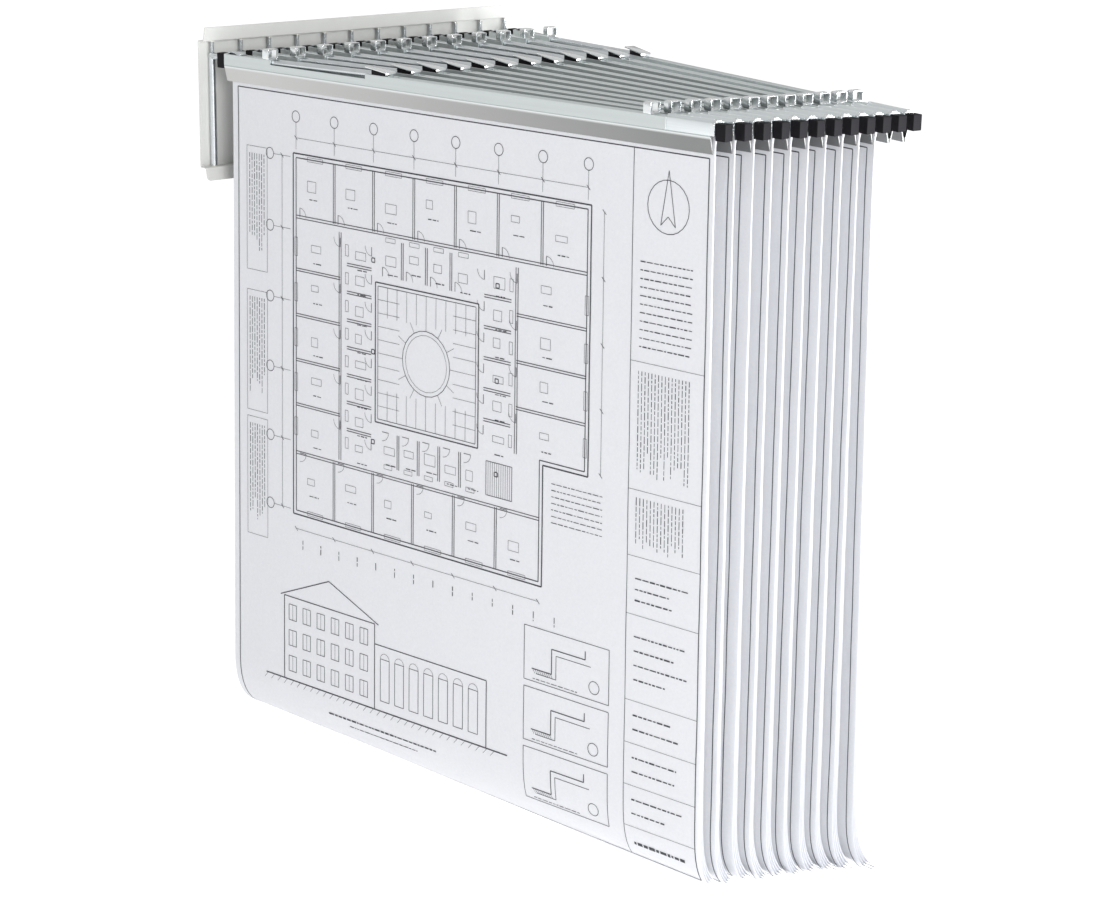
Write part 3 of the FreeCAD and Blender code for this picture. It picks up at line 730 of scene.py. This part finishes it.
for index in range(rack["hangers"]):
    number = "_%02d" % (index + 1)
    finishPiece(
        pivotSpring(),
        "pivotSpring" + number,
        "bracket",
        finishes["zinc"],
        "pivot_springs",
        pivotPlace(index),
    )
    fittings = [
        ("rearCap", rearCap(), finishes["black"], None),
        ("frontCap", frontCap(), finishes["black"], None),
        ("rearLoop", rearLoop(), finishes["nickel"], "fittings"),
        ("frontLoop", frontLoop(), finishes["nickel"], "fittings"),
        ("armHood", armHood(), finishes["nickel"], "fittings"),
        ("bowStrip", bowStrip(), finishes["zinc"], "fittings"),
        ("armStop", armStop(), finishes["black"], None),
        ("frontSleeve", frontSleeve(), brushedAluminium(index), "fittings"),
        ("sleeveRims", sleeveRims(), finishes["nickel"], "fittings"),
    ]
    place = hangerPlace(index)
    for name, mesh, material, slot in fittings:
        node = "clamp_fittings" + number
        finishPiece(mesh, name + number, "clamp" + number, material, node, place)
print("springs and clamp fittings made")

sheets = {
    "bundles": 10,
    "start": 46.0,
    "width": 900.0,
    "top": 59.0,
    "layers": (-0.72, -0.24, 0.24, 0.72),  # each sheet's distance from the middle of its clamp
    "gauge": 0.22,
    "columns": 12,
    "topRows": [0, 22, 60, 110],
    "middleRows": 12,
    "curlRows": 18,
    "curlStep": 10,
}

# Each bundle's length, then its lean from upright and its curl at the rear and front edges as
# (lean, curl length, end angle, power), and how its layers fan out as (lean, end angle)
hang = [
    {"length": 1006, "rear": (-16.6, 129, 87, 1.9), "front": (10.2, 118, 46, 2.5), "fan": (1.6, 0.9)},
    {"length": 1020, "rear": (-6.0, 124, 84, 1.85), "front": (8.0, 122, 56, 2.3), "fan": (1.6, 0.5)},
    {"length": 1025, "rear": (0.0, 114, 73, 1.8), "front": (8.0, 122, 60, 2.2), "fan": (2.0, 0.6)},
    {"length": 1036, "rear": (2.0, 108, 65, 1.8), "front": (10.0, 124, 61, 2.1), "fan": (1.5, 0.5)},
    {"length": 1043, "rear": (4.0, 104, 60, 1.8), "front": (11.0, 124, 65, 2.1), "fan": (2.0, 0.6)},
    {"length": 1049, "rear": (4.0, 102, 56, 1.8), "front": (14.0, 124, 64, 2.1), "fan": (1.4, 0.5)},
    {"length": 1057, "rear": (5.0, 104, 56, 1.8), "front": (15.0, 126, 67, 2.1), "fan": (2.0, 0.6)},
    {"length": 1066, "rear": (6.0, 104, 55, 1.8), "front": (18.0, 126, 70, 2.0), "fan": (1.6, 0.5)},
    {"length": 1075, "rear": (7.0, 106, 56, 1.9), "front": (22.0, 128, 69, 2.0), "fan": (2.0, 0.6)},
    {"length": 1088, "rear": (9.0, 110, 56, 1.8), "front": (34.0, 135, 71, 2.0), "fan": (1.6, 0.5)},
]

# How a sheet falls from its clamp, in millimetres
fall = {
    "step": 2.5,  # between two points of its section
    "leanFrom": 20,
    "leanOver": 120,
    "leanShort": 160,  # the sheet's length less this takes up the lean
    "rippleFrom": 60,
    "rippleOver": 150,
    "rippleLength": 170,
    "rippleSlope": 0.02,
    "fanLean": 3,
    "fanCurl": 0.12,
    "fanEnd": 9,
}


def sheetAngle(length, form, down):
    # The slope from upright at a distance down the sheet, in radians: a slow lean, then the curl
    lean, curl, end, power = form
    settle = min(1.0, max(0.0, (down - fall["leanFrom"]) / fall["leanOver"]))
    slope = lean / (length - fall["leanShort"]) * settle * settle * (3 - 2 * settle)
    into = max(0.0, (down - length + curl) / curl)
    return slope * (1 - into) + math.radians(end) * into**power


def sheetLine(bundle, layer, across):
    # The sheet's section at a distance along the clamp: x, z and slope for equal steps down it
    form = hang[bundle]
    length = form["length"]
    mix = across / sheets["width"]
    rank = layer / (len(sheets["layers"]) - 1)
    leanStep, curlStep = form["fan"]
    chance = random.Random(bundle)
    phase = chance.uniform(0, math.tau)
    ripple = chance.uniform(0.2, 0.7) * mix * mix
    x, z = sheets["layers"][layer], sheets["top"]
    line = [(x, z, 0.0)]
    count = round(length / fall["step"])
    step = length / count
    for i in range(count):
        down = (i + 0.5) * step
        angles = []
        for side in ("rear", "front"):
            lean, curl, end, power = form[side]
            lean += leanStep * fall["fanLean"] * rank
            curl *= 1 + fall["fanCurl"] * rank
            end += fall["fanEnd"] * curlStep * rank
            angles.append(sheetAngle(length, (lean, curl, end, power), down))
        angle = angles[0] * (1 - mix) + angles[1] * mix
        fade = min(1.0, max(0.0, (down - fall["rippleFrom"]) / fall["rippleOver"]))
        wave = math.cos(math.tau * down / fall["rippleLength"] + phase)
        angle += fall["rippleSlope"] * ripple * fade * wave
        x += step * math.sin(angle)
        z -= step * math.cos(angle)
        line.append((x, z, angle))
    return line


class SheetSurface:
    # Keeps the sections of one sheet, so that its print can follow it
    def __init__(self, bundle, layer):
        self.bundle, self.layer, self.lines = bundle, layer, {}
        self.length = hang[bundle]["length"]

    def at(self, across, down, proud=0.0):
        key = round(across, 2)
        if key not in self.lines:
            self.lines[key] = sheetLine(self.bundle, self.layer, across)
        line = self.lines[key]
        spot = min(max(down / self.length * (len(line) - 1), 0), len(line) - 1.0001)
        i = int(spot)
        t = spot - i
        x, z, angle = [a * (1 - t) + b * t for a, b in zip(line[i], line[i + 1])]
        out = (proud * math.cos(angle), proud * math.sin(angle))
        return Vector((x - out[0], -sheets["start"] - across, z - out[1]))


def planSheet(surface):
    # A grid in the sheet's own plane, closer where it curls, laid onto its hanging form
    mesh = bmesh.new()
    top, middle, step = sheets["topRows"][-1], sheets["middleRows"], sheets["curlStep"]
    foot = surface.length - sheets["curlRows"] * step
    rows = sheets["topRows"] + [top + (foot - top) * (i + 1) / middle for i in range(middle)]
    rows += [foot + step * (i + 1) for i in range(sheets["curlRows"])]
    columns = sheets["columns"]
    grid = bmesh.ops.create_grid(mesh, x_segments=columns, y_segments=len(rows) - 1, size=1)
    for vert in grid["verts"]:
        column = round((vert.co.x + 1) / 2 * columns)
        row = round((vert.co.y + 1) / 2 * (len(rows) - 1))
        vert.co = surface.at(column * sheets["width"] / columns, rows[row])
    mesh.normal_update()
    mesh.faces.ensure_lookup_table()
    if mesh.faces[0].normal.x > 0:
        bmesh.ops.reverse_faces(mesh, faces=mesh.faces)
    bmesh.ops.solidify(mesh, geom=mesh.faces, thickness=sheets["gauge"])
    return mesh


# Line widths and other measures of the print, in millimetres on the sheet
drawing = {
    "fine": 0.55,
    "line": 0.95,
    "wall": 1.5,
    "border": 1.5,
    "outer": 2.0,
    "proud": 0.35,
    "shortest": 0.05,
    "piece": 60,  # a stroke is divided at least this often
    "curlPiece": 12,  # and this often from here down, where the sheet curls
    "curlFrom": 820,
    "doorWidth": 13,
    "word": (3, 11),
    "wordGap": 2,
    "wordHeight": (0.5, 0.8),
}


class PlanPrint:
    # Collects strokes on a sheet's face: across from the wall side, down from the top edge
    def __init__(self, surface):
        self.mesh = bmesh.new()
        self.surface = surface

    def stroke(self, a, b, width=drawing["fine"]):
        length = math.dist(a, b)
        if length < drawing["shortest"]:
            return
        curls = max(a[1], b[1]) > drawing["curlFrom"]
        pieces = max(1, int(length / drawing["curlPiece" if curls else "piece"]))
        turn = math.atan2(b[1] - a[1], b[0] - a[0])
        place = (
            Matrix.Translation(((a[0] + b[0]) / 2, (a[1] + b[1]) / 2, 0))
            @ Matrix.Rotation(turn, 4, "Z")
            @ Matrix.Diagonal((length / 2, width / 2, 1, 1))
        )
        bmesh.ops.create_grid(self.mesh, x_segments=pieces, y_segments=1, size=1, matrix=place)

    def path(self, points, width=drawing["fine"]):
        for a, b in zip(points, points[1:]):
            self.stroke(a, b, width)

    def box(self, a, b, width=drawing["fine"]):
        self.path([a, (b[0], a[1]), b, (a[0], b[1]), a], width)

    def wall(self, a, b, thick):
        # Two lines, one along each face of the wall
        length = math.dist(a, b)
        nx, ny = -(b[1] - a[1]) / length * thick / 2, (b[0] - a[0]) / length * thick / 2
        for side in (1, -1):
            start = (a[0] + nx * side, a[1] + ny * side)
            self.stroke(start, (b[0] + nx * side, b[1] + ny * side), drawing["wall"] * 0.8)

    def arc(self, centre, radius, first, last, width=drawing["fine"]):
        count = max(3, int(abs(last - first) / 15))
        points = []
        for i in range(count + 1):
            angle = math.radians(first + (last - first) * i / count)
            x, y = radius * math.cos(angle), radius * math.sin(angle)
            points.append((centre[0] + x, centre[1] + y))
        self.path(points, width)

    def door(self, hinge, first):
        # A leaf and the arc that it swings through
        radius = drawing["doorWidth"]
        angle = math.radians(first)
        tip = (hinge[0] + radius * math.cos(angle), hinge[1] + radius * math.sin(angle))
        self.stroke(hinge, tip, drawing["line"])
        self.arc(hinge, radius, first, first + 90)

    def dashes(self, start, end, chance, height=1.6):
        # A line of print too small to read, as broken bars
        length = math.dist(start, end)
        along = ((end[0] - start[0]) / length, (end[1] - start[1]) / length)
        place = 0.0
        while place < length - drawing["wordGap"]:
            word = min(chance.uniform(*drawing["word"]), length - place)
            a = (start[0] + along[0] * place, start[1] + along[1] * place)
            b = (start[0] + along[0] * (place + word), start[1] + along[1] * (place + word))
            self.stroke(a, b, height * chance.uniform(*drawing["wordHeight"]))
            place += word + drawing["wordGap"]

    def note(self, corner, rows, length, chance, pitch=4.2):
        # A block of print that reads up the sheet: its rows run down the sheet side by side
        for row in range(rows):
            x = corner[0] + row * pitch
            foot = corner[1] + length * chance.uniform(0.75, 1)
            self.dashes((x, corner[1]), (x, foot), chance)

    def dimension(self, a, b, marks):
        # A dimension line with a slanting tick at each mark
        self.stroke(a, b)
        for i in range(marks + 1):
            t = i / marks
            x, y = a[0] + (b[0] - a[0]) * t, a[1] + (b[1] - a[1]) * t
            self.stroke((x - 3, y - 3), (x + 3, y + 3), drawing["line"])

    def finish(self, name, body, place):
        for vert in self.mesh.verts:
            vert.co = self.surface.at(vert.co.x, vert.co.y, drawing["proud"])
        self.mesh.transform(place)
        data = bpy.data.meshes.new(name)
        self.mesh.to_mesh(data)
        self.mesh.free()
        data.materials.append(finishes["ink"])
        piece = bpy.data.objects.new(name, data)
        bpy.context.scene.collection.objects.link(piece)
        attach(piece, body)
        return piece


def borderPrint(surface, chance):
    # All that shows of the sheets behind: a border and a few notes near their front edge
    page = PlanPrint(surface)
    front = sheets["width"] - chance.uniform(7, 20)
    page.box((12, 27.5), (front, surface.length - 14), drawing["border"])
    for i in range(chance.randint(2, 4)):
        down = chance.uniform(80, 800)
        page.note((front - 34, down), 3, chance.uniform(20, 60), chance)
    return page


def drawWing(page, chance, corner, size, count, upright, doorSide):
    # A row of rooms along a corridor, each with a door, a window, some furniture and a label
    x, y = corner
    step = (size[1] if upright else size[0]) / count
    for room in range(count):
        along = room * step
        if upright:
            if room:
                page.wall((x, y + along), (x + size[0], y + along), 3.5)
            hinge = (x + (size[0] if doorSide > 0 else 0), y + along + 8)
            page.door(hinge, 90)
            edge = x if doorSide > 0 else x + size[0]
            page.box((edge - 3, y + along + step * 0.3), (edge + 3, y + along + step * 0.7))
            spot = (x + size[0] * 0.35, y + along + step * chance.uniform(0.25, 0.5))
        else:
            if room:
                page.wall((x + along, y), (x + along, y + size[1]), 3.5)
            hinge = (x + along + 8, y + (size[1] if doorSide > 0 else 0))
            page.door(hinge, 0 if doorSide < 0 else -90)
            edge = y if doorSide > 0 else y + size[1]
            page.box((x + along + step * 0.3, edge - 3), (x + along + step * 0.7, edge + 3))
            spot = (x + along + step * 0.3, y + size[1] * chance.uniform(0.25, 0.5))
        page.box(spot, (spot[0] + chance.uniform(12, 22), spot[1] + chance.uniform(8, 16)))
        page.dashes((spot[0] + 4, spot[1] + 26), (spot[0] + 24, spot[1] + 26), chance, 2)


def floorPlanPrint(surface):
    # A made-up building: four wings round a court with a round pool, an elevation, notes and details
    page = PlanPrint(surface)
    chance = random.Random(11)
    page.box((12, 27.5), (892, 992), drawing["border"])
    # Outer walls
    outer = [(130, 110), (700, 110), (700, 470), (620, 470), (620, 640), (130, 640), (130, 110)]
    page.path(outer, drawing["outer"])
    inner = [(136, 116), (694, 116), (694, 464), (614, 464), (614, 634), (136, 634), (136, 116)]
    page.path(inner, drawing["wall"])
    # The court and its pool
    page.box((300, 270), (500, 470), 1.8)
    page.box((305, 275), (495, 465), drawing["line"])
    page.arc((400, 370), 46, 0, 360, drawing["line"])
    page.arc((400, 370), 40, 0, 360)
    for turn in range(12):
        angle = math.radians(turn * 30)
        page.stroke(
            (400 + 46 * math.cos(angle), 370 + 46 * math.sin(angle)),
            (400 + 62 * math.cos(angle), 370 + 62 * math.sin(angle)),
        )
    # Each wing's corner, size, number of rooms, whether it runs down the sheet, and its doors' side
    wings = [
        ((136, 116), (558, 84), 7, False, 1),
        ((136, 210), (92, 330), 5, True, 1),
        ((570, 210), (124, 254), 4, True, -1),
        ((136, 546), (478, 88), 6, False, -1),
        ((242, 214), (50, 318), 8, True, 1),
        ((510, 214), (50, 256), 6, True, -1),
        ((306, 482), (200, 50), 5, False, -1),
        ((306, 208), (188, 52), 4, False, 1),
    ]
    for wing in wings:
        drawWing(page, chance, *wing)
    # Paving at the court's corners
    for step in range(1, 10):
        x, y = 305 + 19 * step, 275 + 19 * step
        page.stroke((x, 275), (x, 318))
        page.stroke((x, 422), (x, 465))
        page.stroke((305, y), (348, y))
        page.stroke((452, y), (495, y))
    # Corridor walls
    page.wall((228, 210), (228, 540), 4)
    page.wall((570, 210), (570, 464), 4)
    page.wall((136, 200), (694, 200), 4)
    page.wall((136, 546), (614, 546), 4)
    # Stairs, then the grid lines with their columns
    for step in range(11):
        page.stroke((520 + step * 4, 484), (520 + step * 4, 532))
    page.box((516, 484), (564, 532), drawing["line"])
    for column in range(8):
        x = 136 + column * 79.7
        page.stroke((x, 66), (x, 104))
        page.arc((x, 58), 8, 0, 360, drawing["line"])
        for row in range(3):
            y = 240 + row * 130
            if 228 < x < 300 or 500 < x < 570:
                page.box((x - 3, y - 3), (x + 3, y + 3), drawing["wall"])
    for row in range(6):
        y = 116 + row * 103.6
        page.stroke((88, y), (124, y))
        page.arc((80, y), 8, 0, 360, drawing["line"])
    page.dimension((136, 88), (694, 88), 7)
    page.dimension((106, 116), (106, 634), 5)
    page.dimension((136, 662), (614, 662), 6)
    page.dimension((722, 116), (722, 464), 4)
    for row in range(7):
        page.dashes((636, 492 + row * 9), (726, 492 + row * 9), chance)
    # The elevation
    ground = 900
    page.stroke((70, ground), (560, ground), drawing["outer"])
    page.box((110, 770), (300, ground), drawing["wall"])
    page.box((300, 800), (520, ground), drawing["wall"])
    page.path([(102, 770), (205, 728), (308, 770)], drawing["wall"])
    for floor in range(3):
        for bay in range(6):
            x, y = 120 + bay * 30, 782 + floor * 40
            page.box((x, y), (x + 16, y + 24), drawing["line"])
            page.stroke((x + 8, y), (x + 8, y + 24))
    for bay in range(7):
        x = 312 + bay * 29
        page.box((x, 820), (x + 18, 884), drawing["line"])
        page.arc((x + 9, 820), 9, 180, 360)
    for step in range(34):
        page.stroke((74 + step * 14, ground), (66 + step * 14, ground + 9))
    page.dashes((200, 934), (420, 934), chance, 4)
    page.dashes((240, 946), (380, 946), chance, 2.4)
    # Notes at the left, figures under the plan, and three details
    for down in (120, 330, 520):
        page.box((30, down - 10), (74, down + 170))
        page.note((36, down), 7, 150, chance, 5.2)
    for column in range(14):
        page.dashes((150 + column * 38, 678), (150 + column * 38, 692), chance, 2)
    for index in range(3):
        y = 700 + index * 88
        page.box((590, y), (742, y + 78), drawing["line"])
        upper = [(604, y + 60), (640, y + 60), (640, y + 24), (700, y + 24), (700, y + 12)]
        page.path(upper, drawing["wall"])
        lower = [(612, y + 66), (648, y + 66), (648, y + 32), (710, y + 32)]
        page.path(lower, drawing["line"])
        for step in range(9):
            page.stroke((606 + step * 4, y + 60), (610 + step * 4, y + 66))
        page.arc((716, y + 60), 9, 0, 360, drawing["line"])
        page.dashes((606, y + 74), (690, y + 74), chance)
    # The title column, with a north arrow at its top
    page.stroke((770, 28), (770, 992), drawing["line"])
    for y in (300, 470, 560, 640, 760, 820, 880, 940):
        page.stroke((770, y), (892, y))
    page.arc((828, 96), 34, 0, 360, drawing["line"])
    page.path([(828, 50), (816, 120), (828, 108), (840, 120), (828, 50)], drawing["line"])
    for row in range(11):
        page.dashes((784, 170 + row * 11), (870, 170 + row * 11), chance, 2.2)
    page.note((784, 312), 16, 140, chance, 5.6)
    page.note((784, 480), 14, 70, chance, 6)
    for y in (590, 605, 620, 670, 690, 710, 730, 780, 800, 840, 860, 900, 920):
        page.dashes((784, y), (784 + chance.uniform(50, 90), y), chance, 3)
    page.dashes((784, 966), (872, 966), chance, 7)
    return page


for index in range(sheets["bundles"]):
    number = "_%02d" % (index + 1)
    place = hangerPlace(index)
    for layer in range(len(sheets["layers"])):
        surface = SheetSurface(index, layer)
        piece = finishPiece(
            planSheet(surface),
            "planSheet%s_%d" % (number, layer + 1),
            "clamp" + number,
            finishes["paper"],
            "plan_sheets" + number,
            place,
        )
        printed = []
        if layer == 0:
            if index == 0:
                page = floorPlanPrint(surface)
            else:
                page = borderPrint(surface, random.Random(index))
            printed = [page.finish("planPrint" + number, "clamp" + number, place)]
print("plan sheets hung")

scene = bpy.context.scene
scene.view_settings.view_transform = "Standard"


studio = {"floorSize": 40, "floorHeight": -1.35, "floorGlow": 0.4, "worldLight": 0.7}


def studioFloor():
    mesh = bmesh.new()
    level = Matrix.Translation((0, 0, studio["floorHeight"]))
    bmesh.ops.create_grid(
        mesh, x_segments=1, y_segments=1, size=studio["floorSize"], matrix=level
    )
    data = bpy.data.meshes.new("studioFloor")
    mesh.to_mesh(data)
    mesh.free()
    floor = bpy.data.objects.new("studioFloor", data)
    scene.collection.objects.link(floor)
    material, tree, shader = newMaterial("paleFloorPaint", Roughness=0.9, IOR=1.45)
    shader.inputs["Base Color"].default_value = toLinear("#FBFBFB")
    shader.inputs["Emission Color"].default_value = (1, 1, 1, 1)
    shader.inputs["Emission Strength"].default_value = studio["floorGlow"]
    data.materials.append(material)


def softLight(name, place, target, size, power):
    data = bpy.data.lights.new(name, "AREA")
    data.shape = "SQUARE"
    data.size = size
    data.energy = power
    light = bpy.data.objects.new(name, data)
    scene.collection.objects.link(light)
    light.location = place
    aim = Vector(target) - Vector(place)
    light.rotation_euler = aim.to_track_quat("-Z", "Y").to_euler()


studioFloor()
world = bpy.data.worlds.new("studioWorld")
scene.world = world
world.use_nodes = True
background = world.node_tree.nodes["Background"]
background.inputs[0].default_value = (1, 1, 1, 1)
background.inputs[1].default_value = studio["worldLight"]
softLight("keyLight", (-1.7, -4.7, 0.9), (0, -0.8, -0.4), 2, 110)
softLight("frontLight", (0.5, -2.3, -0.25), (0, -0.95, -0.4), 1, 50)

camera = {
    "place": (-2.4628, -3.1720, 0.5289),
    "yaw": 42.19,
    "pitch": 15.31,
    "roll": 0.78,
    "lens": 84.745,
}
cameraData = bpy.data.cameras.new("studioCamera")
cameraData.sensor_fit = "HORIZONTAL"
cameraData.sensor_width = 36
cameraData.lens = camera["lens"]
yaw, pitch, roll = (math.radians(camera[key]) for key in ("yaw", "pitch", "roll"))
flat = math.cos(pitch)
forward = Vector((math.sin(yaw) * flat, math.cos(yaw) * flat, -math.sin(pitch)))
level = Vector((math.cos(yaw), -math.sin(yaw), 0))
above = level.cross(forward)
right = math.cos(roll) * level + math.sin(roll) * above
up = -math.sin(roll) * level + math.cos(roll) * above
stand = Matrix((right, up, -forward)).transposed().to_4x4()
stand.translation = camera["place"]
cameraObject = bpy.data.objects.new("studioCamera", cameraData)
scene.collection.objects.link(cameraObject)
cameraObject.matrix_world = stand
scene.camera = cameraObject
print("stage and camera set")
